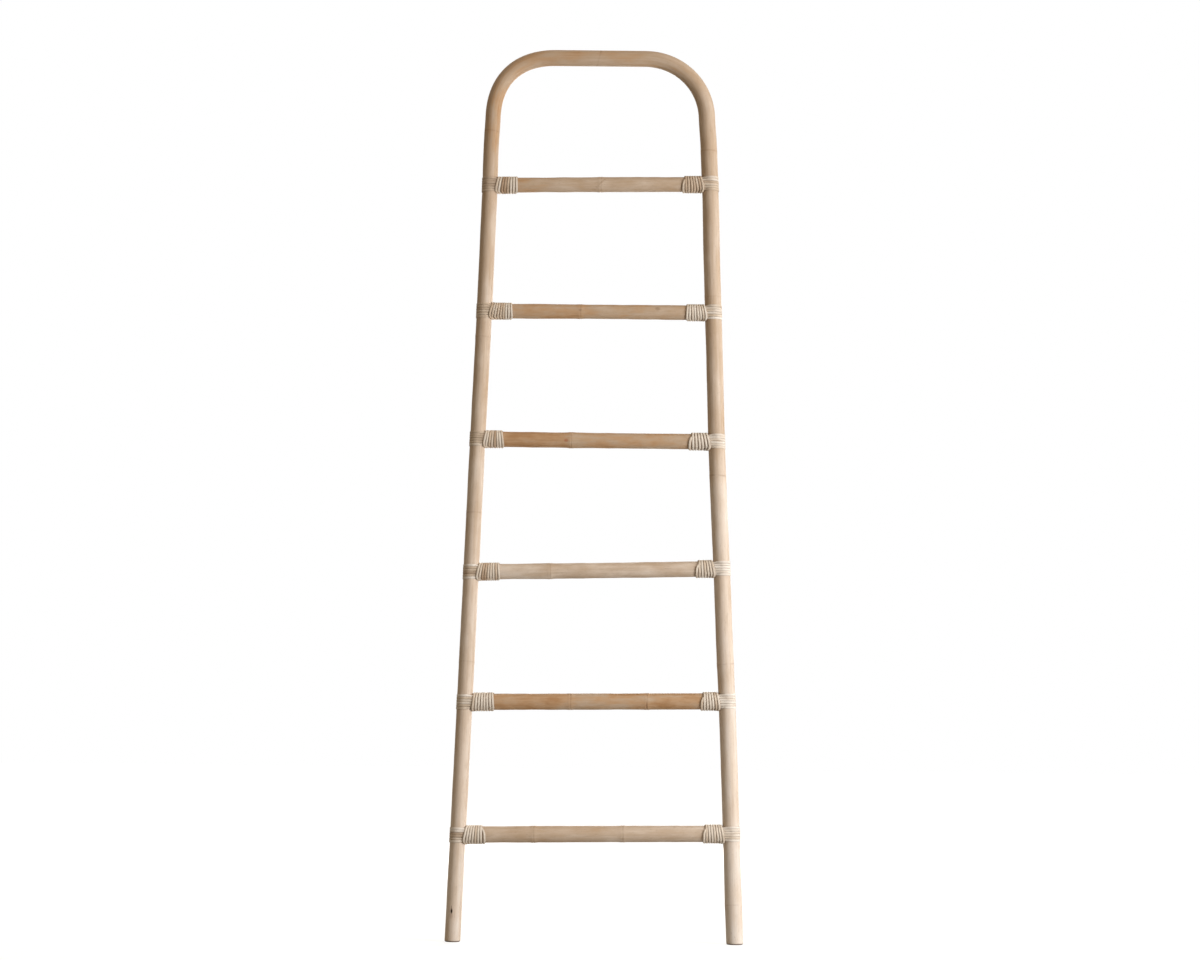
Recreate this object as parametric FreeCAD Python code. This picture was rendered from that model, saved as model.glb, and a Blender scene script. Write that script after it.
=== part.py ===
"""Blanket ladder: a bent cane pole, six coped rungs and twelve joints lashed with cane strip.

Sizes are in millimetres and angles in degrees. +Z is up, the front faces -Y, and the origin
lies on the floor midway between the feet. The ladder stands upright in its own plane.
"""
import math
import os

import FreeCAD
import Part
from FreeCAD import Vector

# Pole: one cane bent into an upside-down U, thickest in its right leg.
overall_height = 1800.0
overall_width = 589.0
left_leg_diameter = 31.6
crown_diameter = 32.8
right_leg_diameter = 34.0
left_shoulder = 222.8         # middle of the ladder to the leg's axis, where its bend starts
right_shoulder = 213.2
bend_reach = 122.0            # from the corner of the straight axes to either end of a bend
left_bend_fullness = 0.63     # 0.55 bends on a circle, 1 keeps the sharp corner
right_bend_fullness = 0.57
foot_rounding = 2.5
bend_sections = 8

# Rungs, from the lowest up: diameter and how much the right end lies above the left.
first_rung_height = 212.5
top_rung_drop = 279.5         # crown to the top rung's axis
rungs = ((32.2, 0.75), (32.2, 0.70), (31.0, 1.30), (31.0, -0.10), (29.6, 0.10), (30.2, 0.80))
cope_lip = 7.0                # leg axis to the blunt lips of a rung's saddle-shaped end
fit_clearance = 0.25

# Lashing: strips saddled round the leg, with their tails under a coil wound on the rung.
strip_crown = 0.5             # share of a strip's width that its outer side keeps
saddle_strip_count = 6
saddle_strip_width = 4.5
saddle_strip_thickness = 0.9
saddle_strip_gap = 0.5
saddle_bends = 6              # straight lengths round the leg
saddle_tail_cover = 4.0       # coil that lies beyond the tails' ends
coil_strip_width = 4.4
coil_strip_thickness = 1.3
coil_gap = 0.85
coil_slant = 2.4              # lean of the first turn, which fades out along the coil
coil_setback = 1.0            # leg to the coil's near edge
coil_facets = 12              # straight lengths in a turn
left_coil_turns = (7.25, 7.5, 8.25, 7.5, 8.5, 8.0)
right_coil_turns = (6.75, 6.5, 6.5, 7.75, 7.0, 8.0)

# Headless square nails: one through the leg into each rung end, sunk under the saddle strips.
nail_thickness = 2.5
nail_length = 60.0
nail_sink = 1.0

UP = Vector(0, 0, 1)
FRONT = Vector(0, -1, 0)
RIGHT = Vector(1, 0, 0)

crown_height = overall_height - crown_diameter / 2
shoulder_height = crown_height - bend_reach
rung_pitch = (overall_height - top_rung_drop - first_rung_height) / (len(rungs) - 1)


def bend_axis(foot, shoulder, inward, fullness):
    """The bend from a leg into the level crown."""
    slope = shoulder - foot
    corner = shoulder + slope * (bend_reach / slope.z)
    end = corner + inward * bend_reach
    curve = Part.BezierCurve()
    curve.setPoles([shoulder, shoulder + (corner - shoulder) * fullness,
                    end + (corner - end) * fullness, end])
    return curve.toShape()


def ring(centre, direction, radius):
    circle = Part.Circle(centre, direction, radius)
    circle.XAxis = FRONT
    return Part.Wire(circle.toShape())


def half_pole(foot, shoulder, bend, leg_radius):
    """Rings from a level cut foot up the straight leg and round its bend, up to the crown."""
    slope = shoulder - foot
    rings = [ring(foot, UP, leg_radius - foot_rounding),
             ring(foot + slope * (foot_rounding / slope.z), slope, leg_radius)]
    for step in range(bend_sections + 1):
        share = step / bend_sections
        at = bend.FirstParameter + share * (bend.LastParameter - bend.FirstParameter)
        radius = leg_radius + share * (crown_diameter / 2 - leg_radius)
        rings.append(ring(bend.valueAt(at), bend.tangentAt(at), radius))
    return rings


class Joint:
    """One rung end on its leg, with its own axes: in along the rung, out to the front, and up."""

    def __init__(self, leg, rung_line, leg_radius, rung_radius, turns):
        self.origin = leg.distToShape(rung_line)[1][0][0]
        self.leg_up = leg.tangentAt(leg.FirstParameter)
        middle = rung_line.valueAt((rung_line.FirstParameter + rung_line.LastParameter) / 2)
        self.inward = (middle - self.origin).normalize()
        self.up = (UP - self.inward * self.inward.dot(UP)).normalize()
        self.leg_radius = leg_radius
        self.rung_radius = rung_radius
        self.turns = turns
        self.seat = leg_radius + fit_clearance + coil_setback
        self.coil_start = self.seat + coil_strip_width / 2 + fit_clearance
        self.coil_end = self.coil_start + turns * (coil_strip_width + coil_gap)

    def at(self, inward, out, up):
        return self.origin + self.inward * inward + FRONT * out + self.up * up


def strip(sections):
    """A closed strip. Between two sections each side is two flat triangles, however it twists."""
    faces = [Part.Face(Part.makePolygon(end + end[:1])) for end in (sections[0], sections[-1])]
    for near, far in zip(sections, sections[1:]):
        for side in range(len(near)):
            corners = near[side - 1], near[side], far[side], far[side - 1]
            for triangle in (corners[:3], corners[2:] + corners[:1]):
                faces.append(Part.Face(Part.makePolygon(triangle + triangle[:1])))
    shell = Part.Shell(faces)
    shell.sewShape()
    solid = Part.Solid(shell)
    if solid.Volume < 0:
        solid.reverse()
    return solid


def domed_section(centre, across, outward, width, thickness):
    """A cane strip's section: flat on its inner side, with its outer edges eased."""
    top = centre + outward * thickness
    crown = width * strip_crown / 2
    return [centre - across * (width / 2), centre + across * (width / 2),
            top + across * crown, top - across * crown]


def turned(out, up, angle):
    """Directions away from a centre and across that, at an angle from out towards up."""
    cosine, sine = math.cos(angle), math.sin(angle)
    return out * cosine + up * sine, up * cosine - out * sine


def saddle_strip(joint, place):
    """One strip: its tails lie on the rung's front and back, and its middle goes round the leg."""
    pitch = saddle_strip_width + saddle_strip_gap
    height = place * pitch
    tail_radius = joint.rung_radius + fit_clearance
    wrap_radius = joint.leg_radius + fit_clearance
    tail_angle = height / tail_radius
    tail_out = tail_radius * math.cos(tail_angle)
    tail_up = tail_radius * math.sin(tail_angle)
    leave = math.atan2(tail_out, joint.seat) + math.acos(
        wrap_radius / math.hypot(joint.seat, tail_out))
    centre = joint.origin + joint.leg_up * height
    step = 2 * (math.pi - leave) / saddle_bends
    corner_radius = wrap_radius / math.cos(step / 2)
    sections = []
    for bend in range(saddle_bends + 1):
        away, _ = turned(joint.inward, FRONT, leave + bend * step)
        ends = bend in (0, saddle_bends)
        reach = wrap_radius if ends else corner_radius
        sections.append(domed_section(centre + away * reach, joint.leg_up, away,
                                      saddle_strip_width, saddle_strip_thickness))
    tail_end = joint.coil_end - saddle_tail_cover
    for side in (1, -1):
        outward, across = turned(FRONT * side, joint.up, tail_angle)
        for inward in (joint.seat, tail_end):
            section = domed_section(joint.at(inward, side * tail_out, tail_up), across, outward,
                                    saddle_strip_width, saddle_strip_thickness)
            if side == 1:
                sections.insert(0, section)
            else:
                sections.append(section)
    return strip(sections)


def saddle(joint):
    middle = (saddle_strip_count - 1) / 2
    return [saddle_strip(joint, number - middle) for number in range(saddle_strip_count)]


def coil_path(joint):
    """Points along the coil: how far in, at what angle from the front, and its inner radius."""
    under = joint.rung_radius + saddle_strip_thickness + 2 * fit_clearance
    corner_radius = under / math.cos(math.pi / coil_facets)
    pitch = coil_strip_width + coil_gap
    path = []
    for step in range(round(joint.turns * coil_facets) + 1):
        turn = step / coil_facets
        fade = 1 - turn / joint.turns
        lean = coil_slant * fade * (1 - math.cos(2 * math.pi * turn)) / 2
        angle = 2 * math.pi * turn - math.pi / 2
        path.append((joint.coil_start + turn * pitch + lean, angle, corner_radius))
    return path


def coil(joint):
    """The binding: one unbroken strip that starts under the rung beside the leg."""
    sections = []
    for inward, angle, radius in coil_path(joint):
        outward, _ = turned(FRONT, joint.up, angle)
        sections.append(domed_section(joint.at(inward, 0, 0) + outward * radius, joint.inward,
                                      outward, coil_strip_width, coil_strip_thickness))
    return strip(sections)


def least_coil_gap(joint):
    """Least distance between the edges of neighbouring turns, measured on the coil's points."""
    path = coil_path(joint)
    return min(later[0] - earlier[0] - coil_strip_width
               for earlier, later in zip(path, path[coil_facets:]))


def nail(joint, clearance):
    """The joint's nail, or with a clearance the hole that it is driven in."""
    half = nail_thickness / 2 + clearance
    start = -2 * joint.leg_radius if clearance else nail_sink - joint.leg_radius
    end = nail_sink - joint.leg_radius + nail_length + clearance
    corners = [joint.at(start, out * half, up * half)
               for out, up in ((-1, -1), (1, -1), (1, 1), (-1, 1))]
    section = Part.Face(Part.makePolygon(corners + corners[:1]))
    return section.extrude(joint.inward * (end - start))


def rung(left, right):
    """A round bar between the legs, each end coped to the leg and pierced for its nail."""
    length = (right.origin - left.origin).Length
    bar = Part.makeCylinder(left.rung_radius, length - 2 * cope_lip,
                            left.at(cope_lip, 0, 0), left.inward)
    for joint in (left, right):
        cope_length = 3 * joint.rung_radius
        cope = Part.makeCylinder(joint.leg_radius + fit_clearance, cope_length,
                                 joint.origin - joint.leg_up * (cope_length / 2), joint.leg_up)
        bar = bar.cut([cope, nail(joint, fit_clearance)])
    return bar


def main():
    left_foot = RIGHT * (left_leg_diameter / 2 - overall_width / 2)
    right_foot = RIGHT * (overall_width / 2 - right_leg_diameter / 2)
    left_top = RIGHT * -left_shoulder + UP * shoulder_height
    right_top = RIGHT * right_shoulder + UP * shoulder_height
    left_bend = bend_axis(left_foot, left_top, RIGHT, left_bend_fullness)
    right_bend = bend_axis(right_foot, right_top, -RIGHT, right_bend_fullness)
    rings = half_pole(left_foot, left_top, left_bend, left_leg_diameter / 2)
    rings += reversed(half_pole(right_foot, right_top, right_bend, right_leg_diameter / 2))
    pole = Part.makeLoft(rings, True, True)

    left_leg = Part.makeLine(left_foot, left_top)
    right_leg = Part.makeLine(right_foot, right_top)
    nodes = {}
    nails = []
    for number, (diameter, rise) in enumerate(rungs):
        height = first_rung_height + number * rung_pitch
        reach = RIGHT * overall_width + UP * (overall_width * math.tan(math.radians(rise)))
        line = Part.makeLine(UP * height - reach, UP * height + reach)
        left = Joint(left_leg, line, left_leg_diameter / 2, diameter / 2,
                     left_coil_turns[number])
        right = Joint(right_leg, line, right_leg_diameter / 2, diameter / 2,
                      right_coil_turns[number])
        nodes[f"rung_{number + 1}"] = rung(left, right)
        for side, joint in (("left", left), ("right", right)):
            pole = pole.cut(nail(joint, fit_clearance))
            nails.append(nail(joint, 0))
            nodes[f"saddle_strips_{side}_{number + 1}"] = Part.makeCompound(saddle(joint))
            nodes[f"binding_coil_{side}_{number + 1}"] = coil(joint)
            print(f"coil {side} {number + 1}: least gap to itself {least_coil_gap(joint):.2f} mm")
    nodes["bent_pole"] = pole
    nodes["joint_nails"] = Part.makeCompound(nails)

    os.makedirs("parts", exist_ok=True)
    for name, shape in nodes.items():
        shape.exportStep(f"parts/{name}.step")
        print(name, len(shape.Solids), "solids")


main()
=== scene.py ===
import math
import random

import bmesh
import bpy
from mathutils import Matrix, Vector, geometry, noise


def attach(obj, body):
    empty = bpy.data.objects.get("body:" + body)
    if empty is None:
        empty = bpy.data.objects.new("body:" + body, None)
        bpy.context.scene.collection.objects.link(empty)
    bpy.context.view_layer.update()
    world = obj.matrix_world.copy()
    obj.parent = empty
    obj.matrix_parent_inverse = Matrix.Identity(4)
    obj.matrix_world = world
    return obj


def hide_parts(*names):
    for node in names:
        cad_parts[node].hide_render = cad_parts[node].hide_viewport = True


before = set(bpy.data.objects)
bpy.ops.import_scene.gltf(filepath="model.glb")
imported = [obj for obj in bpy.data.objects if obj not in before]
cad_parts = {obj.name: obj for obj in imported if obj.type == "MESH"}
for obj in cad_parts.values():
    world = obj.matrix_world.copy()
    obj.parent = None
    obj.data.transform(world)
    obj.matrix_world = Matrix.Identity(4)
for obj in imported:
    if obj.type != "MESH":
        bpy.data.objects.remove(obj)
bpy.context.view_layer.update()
front = Vector((0, -1, 0))
right = Vector((1, 0, 0))
up = Vector((0, 0, 1))

# Sizes are in millimetres until a piece is finished, and "stalk" keeps each point's place
# on the straight cane or strip that was bent: two ways across it, then along it.


def hexColour(code):
    channels = [int(code[place:place + 2], 16) / 255 for place in (1, 3, 5)]
    return [c / 12.92 if c < 0.04045 else ((c + 0.055) / 1.055) ** 2.4 for c in channels] + [1]


def addNode(tree, kind, settings=(), links=()):
    node = tree.nodes.new("ShaderNode" + kind)
    for name, value in dict(settings).items():
        if isinstance(name, str) and hasattr(node, name):
            setattr(node, name, value)
        else:
            node.inputs[name].default_value = value
    for name, source in dict(links).items():
        tree.links.new(source, node.inputs[name])
    return node


def newTree(name):
    material = bpy.data.materials.new(name)
    material.use_nodes = True
    material.node_tree.nodes.clear()
    return material, material.node_tree


def addRamp(tree, source, stops):
    ramp = addNode(tree, "ValToRGB", links={"Fac": source})
    while len(ramp.color_ramp.elements) < len(stops):
        ramp.color_ramp.elements.new(0.5)
    for element, (place, code) in zip(ramp.color_ramp.elements, stops):
        element.position = place
        element.color = hexColour(code)
    return ramp.outputs["Color"]


def sweep(bm, outline, stations):
    # Extrudes an outline of unit size through stations: place, half width, depth, length along
    # and tone, which a material reads as how much limewash or dust is left.
    layers = bm.verts.layers
    unit = layers.float_vector.get("unit") or layers.float_vector.new("unit")
    stalk = layers.float_vector.get("stalk") or layers.float_vector.new("stalk")
    toned = layers.float.get("tone") or layers.float.new("tone")
    ring = bmesh.ops.create_circle(bm, segments=len(outline), radius=1)["verts"]
    for vert, (x, y) in zip(ring, outline):
        vert[unit] = (x, y, 0)
    edges = list({edge for vert in ring for edge in vert.link_edges})
    startEdges = edges
    for number, (place, width, depth, along, tone) in enumerate(stations):
        if number:
            made = bmesh.ops.extrude_edge_only(bm, edges=edges)["geom"]
            ring = [item for item in made if isinstance(item, bmesh.types.BMVert)]
            edges = [item for item in made if isinstance(item, bmesh.types.BMEdge)]
        for vert in ring:
            x, y = vert[unit].x * width, vert[unit].y * depth
            vert.co = place @ Vector((x, y, 0))
            vert[stalk] = (x, y, along)
            vert[toned] = tone
    bmesh.ops.holes_fill(bm, edges=startEdges + edges)


def placeAt(point, across, outward):
    # A matrix whose x axis runs across, y axis outwards, and whose z axis follows the strip.
    along = across.cross(outward).normalized()
    outward = along.cross(across).normalized()
    matrix = Matrix((across.normalized(), outward, along)).transposed().to_4x4()
    matrix.translation = point
    return matrix


def sweepPath(bm, outline, run, along=0.0):
    # Sweeps a strip through points, each with its outward direction, half width, depth and tone.
    stations = []
    for step, (point, outward, halfWidth, depth, tone) in enumerate(run):
        if step:
            along += (point - run[step - 1][0]).length
        ahead = run[min(step + 1, len(run) - 1)][0] - point
        behind = point - run[max(step - 1, 0)][0]
        tangent = ahead.normalized() + behind.normalized()
        stations.append((placeAt(point, outward.cross(tangent), outward), halfWidth, depth, along, tone))
    sweep(bm, outline, stations)


def finishPiece(bm, name, material, slot, *replaced):
    layer = bm.verts.layers.float_vector.get("unit")
    if layer:
        bm.verts.layers.float_vector.remove(layer)
    bmesh.ops.remove_doubles(bm, verts=bm.verts, dist=0.001)
    bmesh.ops.recalc_face_normals(bm, faces=bm.faces)
    bmesh.ops.scale(bm, vec=(0.001, 0.001, 0.001), verts=bm.verts)
    for face in bm.faces:
        face.smooth = True
    mesh = bpy.data.meshes.new(name)
    bm.to_mesh(mesh)
    bm.free()
    mesh.materials.append(material)
    piece = bpy.data.objects.new(name, mesh)
    bpy.context.collection.objects.link(piece)
    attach(piece, "root")
    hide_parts(*replaced)
    return piece


def easedCurve(knots, at):
    # A smooth line through knots of (place, value), level beyond both ends.
    for (lowAt, low), (highAt, high) in zip(knots, knots[1:]):
        if lowAt <= at <= highAt:
            share = (at - lowAt) / (highAt - lowAt)
            return low + (high - low) * share * share * (3 - 2 * share)
    return knots[0][1] if at < knots[0][0] else knots[-1][1]


# Materials

def addPatterns(tree, stalk, look):
    patterns = {}
    for pattern, (across, along, detail) in look["patterns"].items():     # sizes in mm
        scaled = addNode(tree, "Mapping", {"Scale": (1 / across, 1 / across, 1 / along)}, {"Vector": stalk})
        patterns[pattern] = addNode(tree, "TexNoise", {"Scale": 1, "Detail": detail, "Roughness": 0.55},
                                    {"Vector": scaled.outputs[0]}).outputs["Fac"]
    return patterns


def stain(tree, colour, amount, code):
    return addNode(tree, "Mix", {"data_type": "RGBA", 7: hexColour(code)}, {0: amount, 6: colour}).outputs[2]


def stainWhere(tree, colour, pattern, low, high, depth, code):
    # Stains only where a pattern stands above its low value, and fully above its high one.
    amount = addNode(tree, "MapRange", {"From Min": low, "From Max": high, "To Max": depth},
                     {"Value": pattern})
    return stain(tree, colour, amount.outputs[0], code)


def caneMaterial(name, look):
    # Rattan with its skin scraped off, sanded and limewashed: dull and dry, with long soft
    # streaks, grey limewash left in the pores and warm tan where it was rubbed away.
    material, tree = newTree(name)
    stalk = addNode(tree, "Attribute", {"attribute_name": "stalk"}).outputs["Vector"]
    tone = addNode(tree, "Attribute", {"attribute_name": "tone"}).outputs["Fac"]
    patterns = addPatterns(tree, stalk, look)
    rubbed = addNode(tree, "Math", {"operation": "SUBTRACT", 1: sum(look["depths"].values()) / 2}, {0: tone})
    for pattern, depth in look["depths"].items():
        rubbed = addNode(tree, "Math", {"operation": "MULTIPLY_ADD", 1: depth},
                         {0: patterns[pattern], 2: rubbed.outputs[0]})
    colour = addRamp(tree, rubbed.outputs[0], look["rubbedColours"])
    for pattern, (low, high, depth, code) in look["marks"].items():
        colour = stainWhere(tree, colour, patterns[pattern], low, high, depth, code)
    ringed = addNode(tree, "Attribute", {"attribute_name": "nodeRing"}).outputs["Fac"]
    colour = stain(tree, colour, ringed, look["ringColour"])
    # Knots and stains, and at the feet a dark rim that is partly painted contact shadow.
    for place, size, depth, code in look["knots"]:
        near = addNode(tree, "Mapping", {"vector_type": "TEXTURE", "Location": place, "Scale": size},
                       {"Vector": stalk})
        away = addNode(tree, "VectorMath", {"operation": "LENGTH"}, {0: near.outputs[0]}).outputs["Value"]
        knot = addNode(tree, "MapRange", {"From Min": knotFade[1], "From Max": knotFade[0], "To Max": depth},
                       {"Value": away})
        colour = stain(tree, colour, knot.outputs[0], code)
    height = addNode(tree, "Math", {"operation": "ADD"}, {0: patterns["fibres"], 1: patterns["streaks"]})
    bump = addNode(tree, "Bump", {"Strength": look["bump"], "Distance": 0.0005},
                   {"Height": height.outputs[0]})
    roughness = addNode(tree, "MapRange", {"To Min": look["roughness"][0], "To Max": look["roughness"][1]},
                        {"Value": patterns["streaks"]})
    shader = addNode(tree, "BsdfPrincipled", {"IOR": 1.5, "Specular IOR Level": 0.15},
                     {"Base Color": colour, "Roughness": roughness.outputs[0], "Normal": bump.outputs[0]})
    addNode(tree, "OutputMaterial", links={"Surface": shader.outputs[0]})
    return material


rubbedColours = [(0.0, "#EADCCD"), (0.3, "#DFCAB4"), (0.5, "#CFB69C"), (0.7, "#C5A88A"), (0.85, "#C49D77"),
                 (1.0, "#B4885E")]
poleLength = 3901.4            # along its middle, from foot to foot
rungGrain = 900                # how far apart the rungs lie along the grain
knotFade = (0.6, 1.2)          # a knot fades out between these parts of its size
# Marks show above the first value of their pattern and fully above the second, to a depth.
# Knots are eyes and stains in the grain, and a dark rim at each foot that is partly end grain
# and partly painted contact shadow: place on the stalk, size, depth and colour.
poleCaneLook = {
    "patterns": {"streaks": (4.5, 170, 4), "patches": (26, 80, 3),
                 "fibres": (1.3, 40, 3), "pores": (0.55, 8, 1)},
    "depths": {"streaks": 0.5, "patches": 0.75},
    "rubbedColours": rubbedColours, "ringColour": "#9C7657",
    "marks": {"fibres": (0.54, 0.74, 0.24, "#9A7B5E"), "pores": (0.66, 0.78, 0.5, "#7A5A40")},
    "knots": [((15.2, -4.0, 60.5), (3, 2.1, 5.4), 0.98, "#2A1D14"),
              ((15.0, -4.6, 51), (4, 3.4, 6.0), 0.3, "#A17C5C"),
              ((14.6, -4.2, 67), (3, 1.3, 5.0), 0.45, "#7E5D42"),
              # Dark rims at the feet: end grain, and painted contact shadow on the underside.
              ((0, 0, 0), (40, 40, 3.0), 0.85, "#5E4331"),               # the sawn feet
              ((0, 0, poleLength), (40, 40, 3.0), 0.85, "#5E4331")],
    "bump": 0.25, "roughness": (0.55, 0.75),
}
rungCaneLook = {
    "patterns": {"streaks": (4.0, 130, 4), "patches": (17, 48, 3),
                 "fibres": (1.3, 34, 3), "pores": (0.55, 8, 1)},
    "depths": {"streaks": 0.36, "patches": 0.75},
    "rubbedColours": rubbedColours, "ringColour": "#8C684A",
    "marks": {"fibres": (0.54, 0.74, 0.24, "#90714F"), "pores": (0.66, 0.78, 0.5, "#6E4F35")},
    "knots": [((13.9, -5.6, rungGrain * 4 + 350), (3, 4.5, 5.5), 0.35, "#7C5A3E"),
              ((14.6, -1.0, rungGrain * 4 + 194), (3, 2.6, 3.4), 0.35, "#7C5A3E"),
              ((15.0, 2.0, rungGrain * 3 + 178), (4, 3.4, 4.5), 0.5, "#A5532F"),
              ((13.0, 9.5, rungGrain * 1 + 362), (6, 9.0, 1.2), 0.6, "#6E4A30")],
    "bump": 0.25, "roughness": (0.55, 0.75),
}


def peelMaterial(name, look):
    # Split rattan core shaved to a strip: paler and smoother than the poles, with straight fibres down
    # its length, and darker along its edges: brown dust and glue, and painted shade between strips.
    material, tree = newTree(name)
    stalk = addNode(tree, "Attribute", {"attribute_name": "stalk"}).outputs["Vector"]
    tone = addNode(tree, "Attribute", {"attribute_name": "tone"}).outputs["Fac"]
    patterns = addPatterns(tree, stalk, look)
    shade = addNode(tree, "Math", {"operation": "MULTIPLY_ADD", 1: look["toneDepth"]},
                    {0: patterns["tones"], 2: tone})
    colour = addRamp(tree, shade.outputs[0], look["colours"])
    # Darker towards both edges of each strip: partly dust and glue, partly painted shade between strips.
    across = addNode(tree, "SeparateXYZ", links={0: stalk}).outputs[0]
    edge = addNode(tree, "Math", {"operation": "ABSOLUTE"}, {0: across}).outputs[0]
    edge = addNode(tree, "MapRange", {"From Min": look["edge"][0], "From Max": look["edge"][1],
                                      "To Max": look["edgeDustAndShadeDepth"]}, {"Value": edge})
    colour = stain(tree, colour, edge.outputs[0], look["edgeDustAndShadeColour"])
    for pattern, (low, high, depth, code) in look["marks"].items():
        colour = stainWhere(tree, colour, patterns[pattern], low, high, depth, code)
    bump = addNode(tree, "Bump", {"Strength": 0.5, "Distance": 0.0003}, {"Height": patterns["fibres"]})
    shader = addNode(tree, "BsdfPrincipled", {"IOR": 1.5, "Specular IOR Level": 0.2, "Roughness": 0.6},
                     {"Base Color": colour, "Normal": bump.outputs[0]})
    addNode(tree, "OutputMaterial", links={"Surface": shader.outputs[0]})
    return material


# The tone that a strip starts from moves it along its colours, from dusty to clean.
saddlePeelLook = {
    "patterns": {"tones": (9, 60, 3), "fibres": (0.7, 26, 3), "pores": (0.4, 6, 1)},
    "colours": [(0.2, "#B99F86"), (0.5, "#D4BEA4"), (0.8, "#EEE1D1")], "toneDepth": 0.9,
    # Edges darkened by dust and glue and by painted shade between neighbouring strips.
    "edge": (1.7, 2.4), "edgeDustAndShadeDepth": 0.4, "edgeDustAndShadeColour": "#8A6D52",
    "marks": {"fibres": (0.5, 0.72, 0.36, "#A0856A"), "pores": (0.64, 0.76, 0.4, "#8A6D52")},
}
bindingPeelLook = {
    "patterns": {"tones": (9, 38, 3), "fibres": (0.7, 22, 3), "pores": (0.4, 6, 1)},
    "colours": [(0.2, "#B99A7C"), (0.5, "#DAC3A8"), (0.8, "#F0E2CF")], "toneDepth": 0.9,
    # Edges darkened by dust and glue and by painted shade between neighbouring strips.
    "edge": (1.3, 2.5), "edgeDustAndShadeDepth": 0.8, "edgeDustAndShadeColour": "#7B5B41",
    "marks": {"fibres": (0.5, 0.72, 0.4, "#A98B6E"), "pores": (0.64, 0.76, 0.45, "#8A6A4E")},
}


def steelMaterial(name):
    # Bright drawn steel, as nails are cut from: grey with fine die lines along it, 0.4 mm wide
    # and some 30 mm long.
    material, tree = newTree(name)
    stalk = addNode(tree, "Attribute", {"attribute_name": "stalk"}).outputs["Vector"]
    scaled = addNode(tree, "Mapping", {"Scale": (2.5, 2.5, 0.03)}, {"Vector": stalk})
    lines = addNode(tree, "TexNoise", {"Scale": 1, "Detail": 2}, {"Vector": scaled.outputs[0]})
    colour = addRamp(tree, lines.outputs["Fac"], [(0.35, "#8C8E90"), (0.65, "#B4B6B8")])
    roughness = addNode(tree, "MapRange", {"To Min": 0.3, "To Max": 0.5}, {"Value": lines.outputs["Fac"]})
    shader = addNode(tree, "BsdfPrincipled", {"Metallic": 1},
                     {"Base Color": colour, "Roughness": roughness.outputs[0]})
    addNode(tree, "OutputMaterial", links={"Surface": shader.outputs[0]})
    return material


poleCane = caneMaterial("limewashedPoleRattan", poleCaneLook)
rungCane = caneMaterial("limewashedRungRattan", rungCaneLook)
saddlePeel = peelMaterial("splitRattanSaddle", saddlePeelLook)
bindingPeel = peelMaterial("splitRattanBinding", bindingPeelLook)
nailSteel = steelMaterial("drawnNailSteel")
print("materials made")

# Pole: one cane bent into an upside-down U.

pole = {
    "height": 1800, "width": 589,
    "leftDiameter": 31.6, "crownDiameter": 32.8, "rightDiameter": 34.0,
    "leftShoulder": 222.8, "rightShoulder": 213.2, "bendReach": 122,
    "leftFullness": 0.63, "rightFullness": 0.57,
    "footRounding": 3.2, "footSteps": 5, "bendPoints": 28, "roundSegments": 48, "step": 12,
    "inset": 0.2,     # how far the skin lies inside those diameters, so that its swellings fit them
    # How far each leg strays inwards from a straight line, by height.
    "leftStray": [(0, 0), (480, 1.0), (950, 1.0), (1221, 1.8), (1486, 0.9), (1598, -0.8), (1661, 0)],
    "rightStray": [(0, 0), (431, -1.0), (640, 0.4), (976, 2.5), (1226, 0.7), (1343, 0), (1490, -1.8),
                   (1600, -1.6), (1661, 0)],
    # Places along it from the left foot to the right: growth nodes with their slant and darkness,
    # how uneven it is, and how much limewash is rubbed away.
    "growthNodes": [(551, 0.05, 0.3), (849, -0.04, 0.3), (1205, 0, 0.25), (1629, 0.06, 0.35),
                    (1950, 0.25, 0.55), (2309, 0.05, 0.4), (2610, 0, 0.2), (2973, 0.08, 0.45),
                    (3351, -0.06, 0.5), (3824, 0, 0.2)],
    "uneven": [(0, 0.0), (70, 0.35), (1560, 0.35), (1700, 0.0), (2200, 0.0), (2350, 0.35), (3830, 0.35),
               (3904, 0.0)],
    "rubbed": [(150, 0.25), (360, 0.4), (560, 0.4), (680, 0.25), (820, 0.45), (880, 0.35), (1080, 0.55),
               (1400, 0.5), (1500, 0.6), (1740, 0.75), (1850, 0.8), (1950, 0.7), (2250, 0.6), (2430, 0.5),
               (2750, 0.55), (2960, 0.45), (3020, 0.25), (3340, 0.35), (3600, 0.25), (3800, 0.15)],
}
crownHeight = pole["height"] - pole["crownDiameter"] / 2
shoulderHeight = crownHeight - pole["bendReach"]
sides = {
    "left": {
        "foot": right * (pole["leftDiameter"] / 2 - pole["width"] / 2),
        "shoulder": right * -pole["leftShoulder"] + up * shoulderHeight,
        "inward": right, "radius": pole["leftDiameter"] / 2,
        "fullness": pole["leftFullness"], "stray": pole["leftStray"],
    },
    "right": {
        "foot": right * (pole["width"] / 2 - pole["rightDiameter"] / 2),
        "shoulder": right * pole["rightShoulder"] + up * shoulderHeight,
        "inward": -right, "radius": pole["rightDiameter"] / 2,
        "fullness": pole["rightFullness"], "stray": pole["rightStray"],
    },
}


def legPoint(side, height):
    straight = side["foot"].lerp(side["shoulder"], height / shoulderHeight)
    return straight + side["inward"] * easedCurve(side["stray"], height)


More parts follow.
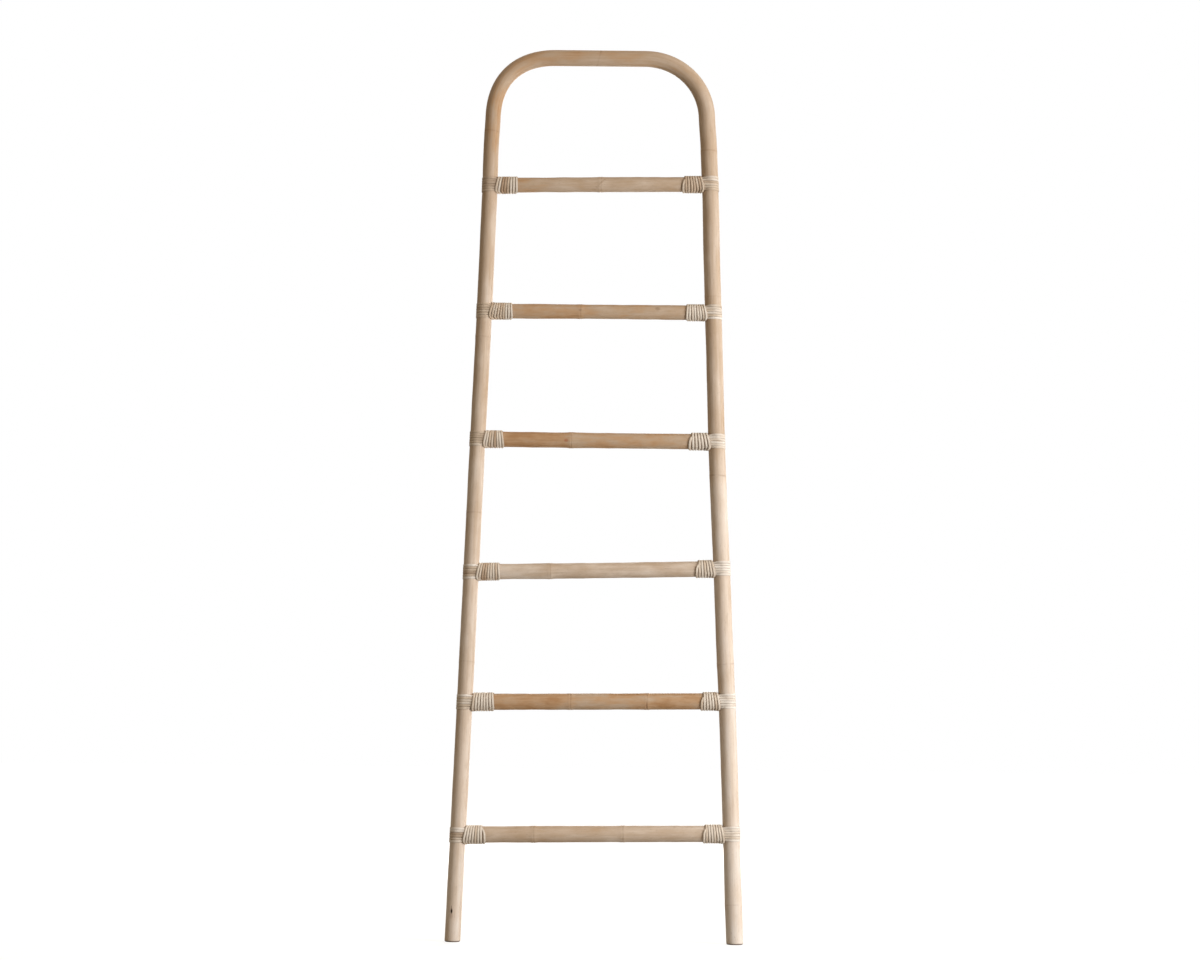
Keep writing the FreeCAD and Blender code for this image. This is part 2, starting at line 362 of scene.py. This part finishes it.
def halfPole(side):
    # Axis points and radii from a foot up its leg and round its bend.
    count = round(shoulderHeight / pole["step"])
    radius = side["radius"] - pole["inset"]
    crownRadius = pole["crownDiameter"] / 2 - pole["inset"]
    points = [(legPoint(side, shoulderHeight * step / count), radius) for step in range(count)]
    slope = (side["shoulder"] - side["foot"]).normalized()
    corner = side["shoulder"] + slope * (pole["bendReach"] / slope.z)
    end = corner + side["inward"] * pole["bendReach"]
    bend = geometry.interpolate_bezier(
        side["shoulder"], side["shoulder"].lerp(corner, side["fullness"]),
        end.lerp(corner, side["fullness"]), end, pole["bendPoints"])
    for number, point in enumerate(bend):
        share = number / (len(bend) - 1)
        points.append((point, radius + share * (crownRadius - radius)))
    return points


def roundOutline(segments):
    return [(math.cos(2 * math.pi * part / segments), math.sin(2 * math.pi * part / segments))
            for part in range(segments)]


# What growth leaves on a cane: rings of points at these gaps beside a growth node, its swelling
# and groove, the dark line round it, and long and short bumps between the nodes.
growth = {
    "gaps": (0, 0.9, 1.8, 3, 5, 8, 12), "swelling": 1.1, "swellingReach": 5,
    "groove": 0.8, "grooveReach": 1.2, "longBump": 55, "shortBump": 21, "shortShare": 0.5,
    "lineReach": 6, "lineWidth": 1.4, "lineStrength": 0.6, "lineBreaks": 0.9, "lineBreakLength": 7,
}


def caneStations(points, look, seed):
    # Frames along a cane, closer together at its growth nodes, where it swells a little.
    lengths = [0.0]
    for (near, _), (far, _) in zip(points, points[1:]):
        lengths.append(lengths[-1] + (far - near).length)
    nodes = [node for node, _, _ in look["growthNodes"]]
    stops = set(lengths)
    for node in nodes:
        stops = {stop for stop in stops if abs(stop - node) > growth["gaps"][-1]}
        stops |= {node + way * gap for gap in growth["gaps"] for way in (-1, 1)}
    stations = []
    for stop in sorted(stop for stop in stops if 0 <= stop <= lengths[-1]):
        number = max(min(sum(length <= stop for length in lengths) - 1, len(points) - 2), 0)
        share = (stop - lengths[number]) / (lengths[number + 1] - lengths[number])
        point = points[number][0].lerp(points[number + 1][0], share)
        radius = points[number][1] + share * (points[number + 1][1] - points[number][1])
        here = (points[number + 1][0] - points[number][0]).normalized()
        near = (points[number][0] - points[number - 1][0]).normalized() if number else here
        far = here
        if number + 2 < len(points):
            far = (points[number + 2][0] - points[number + 1][0]).normalized()
        tangent = (near + here).normalized().lerp((here + far).normalized(), share)
        away = min(abs(stop - node) for node in nodes)
        uneven = easedCurve(look["uneven"], stop)
        bumps = noise.noise(Vector((seed, stop / growth["longBump"], 0)))
        bumps += growth["shortShare"] * noise.noise(Vector((seed, stop / growth["shortBump"], 9)))
        radius += uneven * bumps
        swelling = growth["swelling"] * math.exp(-(away / growth["swellingReach"]) ** 2)
        groove = growth["groove"] * math.exp(-(away / growth["grooveReach"]) ** 2)
        radius += uneven * (swelling - groove)
        stations.append((placeAt(point, front, tangent.cross(front)), radius, radius, stop,
                         easedCurve(look["rubbed"], stop)))
    return stations


def paintRings(bm, growthNodes, seed):
    # Each growth node leaves a thin dark line that slants, wanders and breaks as it goes round.
    stalk = bm.verts.layers.float_vector["stalk"]
    ringed = bm.verts.layers.float.new("nodeRing")
    for vert in bm.verts:
        across, outward, along = vert[stalk]
        for node, slant, strength in growthNodes:
            away = along + slant * outward - node
            if abs(away) < growth["lineReach"]:
                place = Vector((across / growth["lineBreakLength"], outward / growth["lineBreakLength"],
                                seed + node))
                broken = growth["lineStrength"] + growth["lineBreaks"] * noise.noise(place)
                line = strength * broken * math.exp(-(away / growth["lineWidth"]) ** 2)
                vert[ringed] = max(vert[ringed], min(1, line))


def makePole():
    points = halfPole(sides["left"]) + halfPole(sides["right"])[::-1]
    stations = caneStations(points, pole, 1.7)
    rounding = pole["footRounding"]
    for end in (0, -1):     # a softly rounded foot at both ends
        place, radius, _, length, tone = stations[end]
        rings = []
        for part in range(pole["footSteps"] + 1):
            turn = math.pi / 2 * part / pole["footSteps"]
            rise = rounding * (1 - math.cos(turn))
            size = radius - rounding * (1 - math.sin(turn))
            outward = up.cross(front) if end == 0 else front.cross(up)
            level = placeAt(place.translation + up * rise, front, outward)
            rings.append((level, size, size, abs(length - rise), tone))
        if end == 0:
            stations[0:1] = rings
        else:
            stations[-1:] = rings[::-1]
    bm = bmesh.new()
    sweep(bm, roundOutline(pole["roundSegments"]), stations)
    paintRings(bm, pole["growthNodes"], 2.3)
    finishPiece(bm, "bentPole", poleCane, "pole_cane", "bent_pole")
    return stations[-1][3]


madeLength = makePole()
print(f"pole made, {madeLength:.1f} mm along its middle")

# Rungs: six straight canes whose coped ends hug the legs.

rung = {
    "firstHeight": 212.5, "topDrop": 279.5,
    "copeLip": 7, "clearance": 0.1, "endMargin": 2, "step": 9, "roundSegments": 48, "bow": 0.6,
    # How uneven it is, as far in as its lashings reach and past them.
    "lashedTo": 50, "lashedUneven": 0.05, "freeFrom": 95, "freeUneven": 0.6,
}
# From the lowest up: diameter, degrees that the right end lies higher, growth nodes as on the
# pole, and how much limewash is rubbed away along it.
rungs = [
    (32.2, 0.75, [(150, 0, 0.25), (326, 0.02, 0.4)],
     [(60, 0.55), (180, 0.6), (330, 0.5), (520, 0.45)]),
    (32.2, 0.70, [(210, 0.1, 0.25), (362, 0.05, 0.6)],
     [(60, 0.8), (160, 0.9), (250, 0.75), (350, 0.8), (400, 0.9), (500, 0.8)]),
    (31.0, 1.30, [(158, 0.04, 0.3)],
     [(110, 0.3), (160, 0.5), (410, 0.4), (480, 0.5)]),
    (31.0, -0.10, [(188, 0, 0.3)],
     [(100, 0.9), (170, 0.85), (200, 0.75), (330, 0.8), (460, 0.7)]),
    (29.6, 0.10, [(194, 0.1, 0.2)],
     [(60, 0.8), (140, 0.85), (240, 0.75), (300, 0.7)]),
    (30.2, 0.80, [(225, 1.0, 0.6)],
     [(80, 0.75), (150, 0.55), (240, 0.6), (290, 0.55), (430, 0.6)]),
]
rungPitch = (pole["height"] - rung["topDrop"] - rung["firstHeight"]) / (len(rungs) - 1)


def makeJoint(side, number):
    # Where a rung meets its leg: the point, and directions in along the rung, out and up.
    diameter, rise = rungs[number][:2]
    height = rung["firstHeight"] + number * rungPitch
    point = legPoint(side, height)
    for _ in range(4):
        point = legPoint(side, height + point.x * math.tan(math.radians(rise)))
    stretch = 15              # the leg's direction is taken this far above and below
    legUp = (legPoint(side, point.z + stretch) - legPoint(side, point.z - stretch)).normalized()
    inward = side["inward"].copy()
    inward.z = math.tan(math.radians(rise)) * inward.x
    inward.normalize()
    return {"origin": point, "legUp": legUp, "inward": inward,
            "up": (up - inward * inward.dot(up)).normalized(),
            "legRadius": side["radius"], "rungRadius": diameter / 2}


joints = {(name, number): makeJoint(side, number)
          for name, side in sides.items() for number in range(len(rungs))}


def makeRung(number):
    left, far = joints["left", number], joints["right", number]
    span = (far["origin"] - left["origin"]).length
    count = round(span / rung["step"])
    points = []
    for step in range(count + 1):
        share = step / count
        bow = rung["bow"] * math.sin(math.pi * share) * math.sin(5.1 * number + 1)    # each its own way
        points.append((left["origin"].lerp(far["origin"], share) + up * bow, left["rungRadius"]))
    look = {"growthNodes": rungs[number][2], "rubbed": rungs[number][3],
            "uneven": [(rung["lashedTo"], rung["lashedUneven"]), (rung["freeFrom"], rung["freeUneven"]),
                       (span - rung["freeFrom"], rung["freeUneven"]),
                       (span - rung["lashedTo"], rung["lashedUneven"])]}
    stations = caneStations(points, look, number * 3.1 + 5)
    # Only the stations clear of both legs stay, and the end rings are drawn up to the legs.
    clearFrom = left["legRadius"] + rung["endMargin"]
    clearTo = span - far["legRadius"] - rung["endMargin"]
    clear = [station for station in stations if clearFrom < station[3] < clearTo]
    bm = bmesh.new()
    sweep(bm, roundOutline(rung["roundSegments"]), stations[:1] + clear + stations[-1:])
    stalk = bm.verts.layers.float_vector["stalk"]
    for joint, along, way in ((left, 0, 1), (far, span, -1)):
        reach = joint["legRadius"] + rung["clearance"]
        for vert in bm.verts:
            if abs(vert[stalk].z - along) < 0.01:
                out = vert[stalk].x
                cope = max(rung["copeLip"], math.sqrt(max(reach * reach - out * out, 0)))
                vert.co += left["inward"] * way * cope
                vert[stalk] += Vector((0, 0, way * cope))
    paintRings(bm, look["growthNodes"], number + 7.7)
    for vert in bm.verts:
        vert[stalk] += Vector((0, 0, rungGrain * number))      # so that no two rungs share their grain
    finishPiece(bm, f"rungCane{number + 1}", rungCane, "rung_cane", f"rung_{number + 1}")


for number in range(len(rungs)):
    makeRung(number)
print("rungs made")

# Split strips: how clean each one is goes by a few shades, judged one by one.

shades = {"dusty": -0.15, "dull": 0.0, "worn": 0.13, "plain": 0.26, "clean": 0.4, "pale": 0.55}
peel = {"segments": 12, "flatBack": 0.4}


def tonesOf(count, usual, others):
    # A joint's strips have its usual shade, apart from those listed by shade and number.
    tones = [shades[usual]] * count
    for shade, strips in others.items():
        for strip in strips:
            tones[strip - 1] = shades[shade]
    return tones


def peelOutline():
    # A strip's section: a dome on a flat back, from edge to edge.
    flat = peel["flatBack"]
    return [(x, (max(y, -flat) + flat) / (1 + flat)) for x, y in roundOutline(peel["segments"])]


# Saddle strips: six at each joint, round the leg, with their tails under the coil.

saddle = {
    "count": 6, "pitch": 5.0, "width": 4.95, "thickness": 0.8, "clearance": 0.12, "setback": 1.0,
    "bends": 26, "tailCover": 12, "widthSpread": 0.2, "riseSpread": 0.15, "toneSpread": 0.22,
    # From the lowest joint up, with strips numbered from below.
    "shades": {
        "left": [("dull", {"plain": (1, 5), "pale": (6,)}), ("worn", {"clean": (6,)}),
                 ("dull", {"dusty": (3,), "clean": (1, 6)}), ("dull", {"worn": (1,)}),
                 ("dull", {}), ("dusty", {})],
        "right": [("worn", {"plain": (1,), "clean": (6,)}), ("plain", {"clean": (1, 6)}),
                  # At the fourth joint on the right the fourth strip is set darker: painted shade beside the
                  # gap.
                  ("clean", {}), ("plain", {"worn": (4,), "clean": (5,)}),
                  ("worn", {"pale": (1,)}), ("dull", {"worn": (5, 6)})],
    },
    # Where two strips gape: the strip above, how far, and at which turn round the leg.
    "parted": {("right", 3): (3, 0.75)}, "gapeAngle": 1.75, "gapeReach": 0.5,
    "jointGrain": 400, "sideGrain": 5000, "stripGrain": 71,     # how far apart they lie along the grain
}
# From the lowest rung up: strands across the front, how far the first leans over the leg's edge
# and the last lies from it, how the end is finished, and how far the last ones splay below.
coils = {
    "left": [(8, -7.0, 39.0, "hooked", 1.5), (8, -2.2, 44.5, "straight", 1.0),
             (9, -7.0, 43.5, "straight", 1.0), (8, -6.3, 38.0, "straight", 2.4),
             (9, -8.0, 43.0, "straight", 0.5), (8, -6.5, 43.0, "straight", 0)],
    "right": [(8, -4.0, 40.5, "tucked", 0.6), (7, -4.0, 37.0, "tucked", 1.2),
              (7, -4.5, 36.5, "tucked", 1.2), (7, -6.0, 41.0, "tucked", 1.0),
              (8, -6.0, 39.5, "straight", 0.5), (8, -6.0, 41.0, "tucked", 0.6)],
}
coil = {
    "thickness": 1.3, "tailThickness": 1.0, "facets": 32, "under": 1.4, "mostTurns": 14,
    "toneSpread": 0.1, "pitchSpread": 0.35, "liftSpread": 0.16, "smoothings": 2,
    "gap": 0.08, "squeezedFill": 0.97, "legGap": 0.3, "lean": 0.2,
    # The first turns stand off low down in front, where they lean out over the leg.
    "cornerLift": 3.0, "cornerTurn": 0.2, "cornerTurns": 1.6, "cornerAngle": 5.3, "cornerReach": 0.32,
    "lead": 0.3, "leadDive": 0.15, "leadSlant": 3.5, "leadHeight": 0.15,
    "legClearance": 0.2, "saddleClearance": 0.05, "mostLift": 2.4,
    "endHeight": 0.12, "tuckFrom": 0.56, "tuckSpread": 0.14, "bellyPace": 1.1,
    "endings": {
        # tucked in behind, out of sight
        "straight": {"turns": 0.85, "slant": 5.5, "slantFrom": 1.1, "slantOver": 0.6,
                     "diveFrom": 1.1, "diveOver": 0.4, "belly": 0},
        # slants back and slips under its neighbours
        "tucked": {"turns": 0.44, "slant": 6.5, "slantFrom": -0.1, "slantOver": 0.26,
                   "diveFrom": 0, "diveOver": 0.2, "belly": 0},
        # bellies out, then back under its neighbours
        "hooked": {"turns": 0.5, "slant": 7.5, "slantFrom": 0.55, "slantOver": 0.45,
                   "diveFrom": 0.5, "diveOver": 0.3, "belly": 1.6},
    },
    # From the lowest joint up, with strands numbered from the leg.
    "shades": {
        "left": [("clean", {"worn": (5,), "pale": (8,)}), ("clean", {"plain": (1,), "pale": (8,)}),
                 ("plain", {"dull": (3, 5), "dusty": (4,), "clean": (6, 9), "worn": (8,)}),
                 ("plain", {"worn": (3, 4), "dusty": (5,), "clean": (6, 7)}),
                 ("worn", {"dull": (5,), "clean": (7, 8, 9)}),
                 ("clean", {"worn": (1, 5), "plain": (2,), "dusty": (3, 4)})],
        "right": [("plain", {}), ("plain", {}), ("plain", {}), ("clean", {}), ("plain", {}),
                  ("dull", {"worn": (1, 8)})],
    },
    "jointGrain": 1500, "sideGrain": 11000,
}


def turnedOut(out, upward, angle):
    cosine, sine = math.cos(angle), math.sin(angle)
    return out * cosine + upward * sine, upward * cosine - out * sine


def eased(share):
    share = max(0, min(1, share))
    return share * share * (3 - 2 * share)


def saddlePath(joint, height):
    # Where a strip at a height leaves its tail on the rung and meets the leg.
    tailRadius = joint["rungRadius"] + saddle["clearance"]
    wrapRadius = joint["legRadius"] + saddle["clearance"]
    seat = joint["legRadius"] + saddle["setback"]
    tailAngle = height / tailRadius
    tailOut, tailUp = tailRadius * math.cos(tailAngle), tailRadius * math.sin(tailAngle)
    leave = math.atan2(tailOut, seat) + math.acos(min(wrapRadius / math.hypot(seat, tailOut), 1))
    return seat, wrapRadius, tailAngle, tailOut, tailUp, leave


def makeSaddle(name, number):
    joint = joints[name, number]
    chance = random.Random(f"saddle {name} {number}")
    tailEnd = joint["legRadius"] + coils[name][number][2] - saddle["tailCover"]
    partAt, partedBy = saddle["parted"].get((name, number), (0, 0))
    tones = tonesOf(saddle["count"], *saddle["shades"][name][number])
    bm = bmesh.new()
    for strip in range(saddle["count"]):
        height = (strip - (saddle["count"] - 1) / 2) * saddle["pitch"]
        height += chance.uniform(-1, 1) * saddle["riseSpread"]
        halfWidth = (saddle["width"] - chance.random() * saddle["widthSpread"]) / 2
        tone = tones[strip] + chance.uniform(-0.5, 0.5) * saddle["toneSpread"]
        seat, wrapRadius, tailAngle, tailOut, tailUp, leave = saddlePath(joint, height)
        run = []
        for side in (1, -1):
            outward, _ = turnedOut(front * side, joint["up"], tailAngle)
            tails = [joint["origin"] + joint["inward"] * inward + front * side * tailOut
                     + joint["up"] * tailUp for inward in (tailEnd, (tailEnd + seat) / 2, seat)]
            if side == 1:
                run += [(point, outward, halfWidth, saddle["thickness"], tone) for point in tails]
                for bend in range(saddle["bends"] + 1):
                    angle = leave + (2 * math.pi - 2 * leave) * bend / saddle["bends"]
                    away, _ = turnedOut(joint["inward"], front, angle)
                    gape = partedBy * (1 if strip >= partAt else -1)
                    gape *= math.exp(-((angle - saddle["gapeAngle"]) / saddle["gapeReach"]) ** 2)
                    gape *= max(0, 1 - abs(strip + 0.5 - partAt) / 2)
                    run.append((joint["origin"] + joint["legUp"] * (height + gape) + away * wrapRadius,
                                away, halfWidth, saddle["thickness"], tone))
            else:
                run += [(point, outward, halfWidth, saddle["thickness"], tone) for point in tails[::-1]]
        grain = saddle["jointGrain"] * number + saddle["sideGrain"] * (name == "left")
        sweepPath(bm, peelOutline(), run, grain + saddle["stripGrain"] * strip)
    finishPiece(bm, f"saddleStrips{name.capitalize()}{number + 1}", saddlePeel, "saddle_peel",
                f"saddle_strips_{name}_{number + 1}")


# Binding coils: one unbroken strip wound round each rung end.

def saddleFace(joint, inward, height):
    # How far out the saddle strips, or the bare leg above and below them, stand beside the rung.
    if abs(height) > saddle["pitch"] * saddle["count"] / 2:
        return math.sqrt(max(joint["legRadius"] ** 2 - inward ** 2, 0))
    seat, wrapRadius, _, tailOut, _, leave = saddlePath(joint, height)
    touchIn, touchOut = wrapRadius * math.cos(leave), wrapRadius * math.sin(leave)
    if inward >= seat:
        face = tailOut
    elif inward > touchIn:
        face = touchOut + (tailOut - touchOut) * (inward - touchIn) / (seat - touchIn)
    else:
        face = math.sqrt(max(wrapRadius ** 2 - inward ** 2, 0))
    return face + saddle["thickness"]


def makeCoil(name, number):
    joint = joints[name, number]
    chance = random.Random(f"coil {name} {number}")
    strands, near, far, ending, splay = coils[name][number]
    finish = coil["endings"][ending]
    turns = strands - 1 + finish["turns"]
    legEdge, under = joint["legRadius"], joint["rungRadius"] + coil["under"]
    # In front the strands fan towards the leg; above and below the rung they're squeezed.
    frontPitch = (far - near) / (strands - coil["gap"])
    frontWidth = (1 - coil["gap"]) * frontPitch
    squeezedPitch = (far - frontWidth - coil["legGap"]) / turns
    squeezedWidth = min(frontWidth, coil["squeezedFill"] * squeezedPitch)
    phase = [chance.uniform(-1, 1) for _ in range(coil["mostTurns"])]
    lifts = [chance.uniform(0, 1) for _ in range(coil["mostTurns"])]
    tones = [tone + chance.uniform(-1, 1) * coil["toneSpread"]
             for tone in tonesOf(strands, *coil["shades"][name][number])]
    tones += tones[-1:] * 2
    tuck = coil["tuckFrom"] + coil["tuckSpread"] * chance.random()
    endFrom = tuck if ending == "tucked" else 0
    lean = coil["lean"]
    rows = []
    for step in range(round(-coil["lead"] * coil["facets"]), round(turns * coil["facets"]) + 1):
        turn = step / coil["facets"]
        whole = max(int(turn), 0)
        part = turn - whole
        angle = 2 * math.pi * turn - math.pi / 2
        share = (part % 0.5) * 2                       # from below to above in front, and back again
        fan = math.sin(math.pi * share)
        if part < 0.5:                                 # it leans out over the leg low down in front
            fan = eased(share / lean) if share < lean else (1 - share) / (1 - lean)
        if turn < 0:
            fan = 0
        uneven = phase[whole] + (phase[whole + 1] - phase[whole]) * max(part, 0)
        squeezed = legEdge + coil["legGap"] + squeezedWidth / 2 + turn * squeezedPitch
        fanned = legEdge + near + frontWidth / 2 + (turn - 0.25) * frontPitch + coil["pitchSpread"] * uneven
        inward = squeezed + (fanned - squeezed) * fan - splay * max(turn, 0) / strands * math.sin(angle)
        halfWidth = (squeezedWidth + (frontWidth - squeezedWidth) * fan) / 2
        corner = max(1 - max(turn - coil["cornerTurn"], 0) / coil["cornerTurns"], 0)
        corner *= math.exp(-((angle % (2 * math.pi) - coil["cornerAngle"]) / coil["cornerReach"]) ** 2)
        radius = under + coil["liftSpread"] * lifts[whole] * fan + coil["cornerLift"] * corner
        depth = coil["thickness"]
        tone = tones[whole] + (tones[whole + 1] - tones[whole]) * eased(part * 4 - 3)
        if turn < 0:                                   # its start lies under the first turn
            dive = eased(-turn / coil["leadDive"])
            inward += coil["leadSlant"] * eased(-turn / coil["lead"])
            radius -= dive * (coil["under"] - coil["leadHeight"])
            depth += dive * (coil["tailThickness"] - depth)
        if turn > strands - 1:
            last = (turn - strands + 1) * 2 - endFrom  # without a tuck, 0 below, 1 above, then behind
            belly = finish["belly"] * math.sin(math.pi * min(last * coil["bellyPace"], 1))
            inward += belly - finish["slant"] * eased((last - finish["slantFrom"]) / finish["slantOver"])
            dive = eased((last - finish["diveFrom"]) / finish["diveOver"])
            radius -= dive * (coil["under"] - coil["endHeight"])
            depth += dive * (coil["tailThickness"] - depth)
        rows.append([inward, radius, angle, halfWidth, depth, tone])
    for row in rows:                                   # keep clear of the leg and the saddle strips
        inward, radius, angle, halfWidth = row[:4]
        out, height = abs(radius * math.cos(angle)), radius * math.sin(angle)
        if abs(height) > saddle["pitch"] * saddle["count"] / 2:
            edge = math.sqrt(max((legEdge + coil["legClearance"]) ** 2 - out ** 2, 0))
            row[0] = max(inward, edge + halfWidth)
        elif inward - halfWidth < legEdge + saddle["setback"]:
            face = max(saddleFace(joint, row[0] + gap * halfWidth, height) for gap in (-1, 0, 1))
            lifted = math.hypot(face + coil["saddleClearance"], height)
            row[1] = min(max(radius, lifted), radius + coil["mostLift"])
    for _ in range(coil["smoothings"]):
        for before, row, after in zip([row[:2] for row in rows], rows[1:], [row[:2] for row in rows[2:]]):
            row[0] = (before[0] + 2 * row[0] + after[0]) / 4
            row[1] = (before[1] + 2 * row[1] + after[1]) / 4
    run = []
    for inward, radius, angle, halfWidth, depth, tone in rows:
        outward, _ = turnedOut(front, joint["up"], angle)
        place = joint["origin"] + joint["inward"] * inward + outward * radius
        run.append((place, outward, halfWidth, depth, tone))
    bm = bmesh.new()
    sweepPath(bm, peelOutline(), run, coil["jointGrain"] * number + coil["sideGrain"] * (name == "left"))
    finishPiece(bm, f"bindingCoil{name.capitalize()}{number + 1}", bindingPeel, "binding_peel",
                f"binding_coil_{name}_{number + 1}")


for sideName, number in joints:
    makeSaddle(sideName, number)
    makeCoil(sideName, number)
print("lashings made")

# Nails: one through the leg into each rung end, sunk under the saddle strips.

nail = {
    "thickness": 2.5, "length": 60, "sink": 1.2, "headSize": 0.9, "headChamfer": 0.4,
    "pointLength": 6, "tipLength": 1.5, "tipSize": 0.55, "bluntness": 0.35,
}


def makeNails():
    bm = bmesh.new()
    half = nail["thickness"] / 2 * math.sqrt(2)       # from its middle to a corner
    corners = [(math.cos(turn * math.pi / 4), math.sin(turn * math.pi / 4)) for turn in (1, 3, 5, 7)]
    for joint in joints.values():
        start = nail["sink"] - joint["legRadius"]
        end = start + nail["length"]
        profile = [(start, nail["headSize"]), (start + nail["headChamfer"], 1),
                   (end - nail["pointLength"], 1), (end - nail["tipLength"], nail["tipSize"]),
                   (end, nail["bluntness"])]
        stations = []
        for inward, size in profile:
            point = joint["origin"] + joint["inward"] * inward
            stations.append((placeAt(point, front, joint["up"]), half * size, half * size, inward, 0))
        sweep(bm, corners, stations)
    piece = finishPiece(bm, "jointNails", nailSteel, "nail_steel", "joint_nails")
    for face in piece.data.polygons:
        face.use_smooth = False


makeNails()

# Floor, light and camera

studio = {
    "floorSize": 60, "floorColour": "#A9A8A5",
    "nearLift": 0.76, "farLift": 0.88, "nearReach": 1.5, "farReach": 4.0, "lampAim": (0, 0, 0.85),
    "roomLight": 0.18, "roomColour": "#FFDCA0",
    "keyPlace": (3.05, -1.95, 0.8), "keySize": 1.8, "keyPower": 130, "keyColour": (0.95, 1.0, 1.08),
    "backPlace": (0.9, 4.3, 1.5), "backSize": 2.6, "backPower": 170,
    "skyStrength": 1.06, "skyColour": (0.98, 1.0, 1.03), "skySpread": 70, "skyFrom": (0.28, -0.38, 0.88),
    "cameraPlace": (0.0027, -4.9728, 0.3964), "cameraTilt": 5.98, "cameraRoll": 0.0103, "lens": 74.70,
}


def seenDirectly(tree):
    # 1 for what the camera, a reflection or a clear body looks at, and 0 for light on the object.
    path = addNode(tree, "LightPath")
    first = addNode(tree, "Math", {"operation": "ADD"},
                    {0: path.outputs["Is Camera Ray"], 1: path.outputs["Is Glossy Ray"]})
    both = addNode(tree, "Math", {"operation": "ADD", "use_clamp": True},
                   {0: first.outputs[0], 1: path.outputs["Is Transmission Ray"]})
    return both.outputs[0]


def makeFloor():
    material, tree = newTree("paintedStudioFloor")
    matt = addNode(tree, "BsdfDiffuse", {"Color": hexColour(studio["floorColour"])})
    # The floor is lifted to white, and less so near the object, where its shadow has to show.
    place = addNode(tree, "TexCoord").outputs["Object"]
    away = addNode(tree, "VectorMath", {"operation": "LENGTH"}, {0: place}).outputs["Value"]
    level = addNode(tree, "MapRange", {"From Min": studio["nearReach"], "From Max": studio["farReach"],
                                       "To Min": studio["nearLift"], "To Max": studio["farLift"]},
                    {"Value": away})
    lift = addNode(tree, "Math", {"operation": "MULTIPLY"}, {0: seenDirectly(tree), 1: level.outputs[0]})
    glow = addNode(tree, "Emission", {"Color": (1, 1, 1, 1)}, {"Strength": lift.outputs[0]})
    both = addNode(tree, "AddShader", links={0: matt.outputs[0], 1: glow.outputs[0]})
    addNode(tree, "OutputMaterial", links={"Surface": both.outputs[0]})
    bm = bmesh.new()
    bmesh.ops.create_grid(bm, x_segments=1, y_segments=1, size=studio["floorSize"] / 2)
    mesh = bpy.data.meshes.new("studioFloor")
    bm.to_mesh(mesh)
    bm.free()
    mesh.materials.append(material)
    floor = bpy.data.objects.new("studioFloor", mesh)
    bpy.context.collection.objects.link(floor)


def makeLamp(name, kind, place, target, settings):
    light = bpy.data.lights.new(name, kind)
    for setting, value in settings.items():
        setattr(light, setting, value)
    lamp = bpy.data.objects.new(name, light)
    lamp.location = place
    lamp.rotation_euler = (Vector(target) - Vector(place)).to_track_quat("-Z", "Y").to_euler()
    bpy.context.collection.objects.link(lamp)


def makeWorld():
    world = bpy.data.worlds.new("paleRoom")
    world.use_nodes = True
    tree = world.node_tree
    tree.nodes.clear()
    seen = seenDirectly(tree)
    strength = addNode(tree, "MapRange", {"To Min": studio["roomLight"], "To Max": 1.0}, {"Value": seen})
    colour = addNode(tree, "Mix", {"data_type": "RGBA", 6: hexColour(studio["roomColour"]), 7: (1, 1, 1, 1)},
                     {0: seen})
    room = addNode(tree, "Background", links={"Color": colour.outputs[2], "Strength": strength.outputs[0]})
    addNode(tree, "OutputWorld", links={"Surface": room.outputs[0]})
    bpy.context.scene.world = world


def makeCamera():
    lens = bpy.data.cameras.new("photoCamera")
    lens.sensor_width = 36
    lens.sensor_fit = "HORIZONTAL"
    lens.lens = studio["lens"]
    camera = bpy.data.objects.new("photoCamera", lens)
    turn = Matrix.Rotation(math.radians(90 + studio["cameraTilt"]), 4, "X")
    camera.matrix_world = (Matrix.Translation(studio["cameraPlace"]) @ turn
                           @ Matrix.Rotation(studio["cameraRoll"], 4, "Z"))
    bpy.context.collection.objects.link(camera)
    bpy.context.scene.camera = camera


makeFloor()
makeLamp("windowLamp", "AREA", studio["keyPlace"], studio["lampAim"],
         {"size": studio["keySize"], "energy": studio["keyPower"], "color": studio["keyColour"]})
makeLamp("backLamp", "AREA", studio["backPlace"], studio["lampAim"],
         {"size": studio["backSize"], "energy": studio["backPower"]})
makeLamp("ceilingLight", "SUN", Vector(studio["skyFrom"]) * 4, (0, 0, 0),
         {"energy": studio["skyStrength"], "angle": math.radians(studio["skySpread"]),
          "color": studio["skyColour"]})
makeWorld()
makeCamera()
bpy.context.scene.view_settings.view_transform = "Standard"
print("studio made")

bpy.context.view_layer.update()
